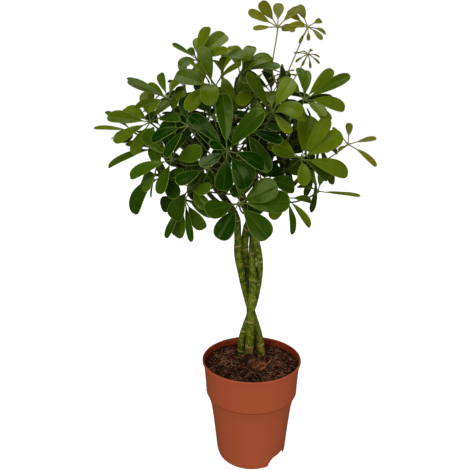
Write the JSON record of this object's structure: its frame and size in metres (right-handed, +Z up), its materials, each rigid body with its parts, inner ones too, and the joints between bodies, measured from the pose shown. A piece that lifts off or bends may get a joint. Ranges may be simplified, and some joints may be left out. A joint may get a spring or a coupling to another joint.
{
  "type": "potted umbrella plant",
  "caption": "House plant with a braided trunk and a rounded crown of compound leaves, standing in a tapered plastic nursery pot filled with soil.",
  "frame": {"origin": "on the pot's axis, in the plane of the surface that the pot stands on", "axes": "+Z up along the pot's axis; -Y is the front, the side that the picture shows; +X to the right seen from the front"},
  "size_m": [0.4402, 0.3338, 0.7576],
  "materials": {
    "pot": "satin terracotta-coloured plastic",
    "soil": "rough dark peat",
    "stem": "dull green bark with tan leaf scars",
    "leaf": "glossy dark green above, matt olive below",
    "young_leaf": "satin olive green"
  },
  "bodies": {
    "root": {"pot": "pot", "soil": "soil", "stem_a": "stem", "stem_b": "stem", "stem_c": "stem", "stem_d": "stem", "leaf_01": "leaf", "leaf_02": "leaf", "leaf_03": "leaf", "leaf_04": "leaf", "leaf_05": "leaf", "leaf_06": "leaf", "leaf_07": "leaf", "leaf_08": "leaf", "leaf_09": "leaf", "leaf_10": "leaf", "leaf_11": "leaf", "leaf_12": "leaf", "leaf_13": "leaf", "leaf_14": "leaf", "leaf_15": "leaf", "leaf_16": "leaf", "leaf_17": "leaf", "leaf_18": "leaf", "leaf_19": "leaf", "young_leaf_20": "young_leaf", "young_leaf_21": "young_leaf", "young_leaf_22": "young_leaf", "leaf_23": "leaf", "leaf_24": "leaf", "leaf_25": "leaf", "leaf_26": "leaf", "leaf_27": "leaf", "leaf_28": "leaf", "leaf_29": "leaf", "leaf_30": "leaf", "leaf_31": "leaf", "young_leaf_32": "young_leaf", "young_leaf_33": "young_leaf", "young_leaf_34": "young_leaf", "leaf_35": "leaf", "leaf_36": "leaf", "leaf_37": "leaf", "leaf_38": "leaf", "leaf_39": "leaf", "leaf_40": "leaf", "leaf_41": "leaf", "leaf_42": "leaf", "leaf_43": "leaf", "leaf_44": "leaf", "leaf_45": "leaf", "leaf_46": "leaf", "leaf_47": "leaf", "leaf_48": "leaf", "leaf_49": "leaf", "leaf_50": "leaf", "leaf_51": "leaf", "leaf_52": "leaf", "leaf_53": "leaf"}
  },
  "joints": []
}
